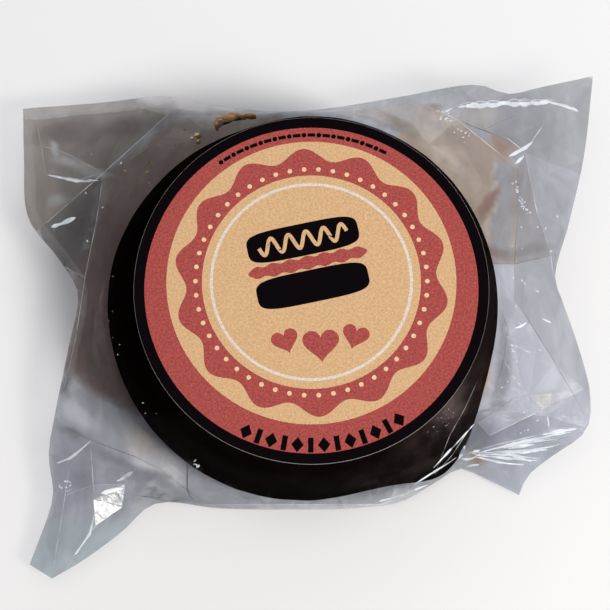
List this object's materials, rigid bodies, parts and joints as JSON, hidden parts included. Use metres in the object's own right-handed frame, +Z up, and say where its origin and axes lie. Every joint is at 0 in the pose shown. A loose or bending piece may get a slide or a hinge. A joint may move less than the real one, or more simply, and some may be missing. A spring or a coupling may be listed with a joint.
{
  "type": "alfajor cookie in clear film bag",
  "caption": "Round chocolate-coated sandwich biscuit sealed in a clinging clear film bag with flared ends, a round sticker on top and a paper label beneath.",
  "frame": {"origin": "centre of the biscuit on the surface the pack lies on, which is the underside of the paper label", "axes": "+Z up through the biscuit, +X along the bag's length from one end seal to the other, +Y towards the bag's back fold"},
  "size_m": [0.1013, 0.0883, 0.0198],
  "materials": {
    "film": "clear glossy polypropylene film over dark chocolate coating",
    "sticker": "satin printed label stock, rose and cream inside a black rim",
    "back_label": "plain white label stock"
  },
  "bodies": {
    "root": {"film_bag": "film", "sticker": "sticker", "back_label": "back_label"}
  },
  "joints": []
}
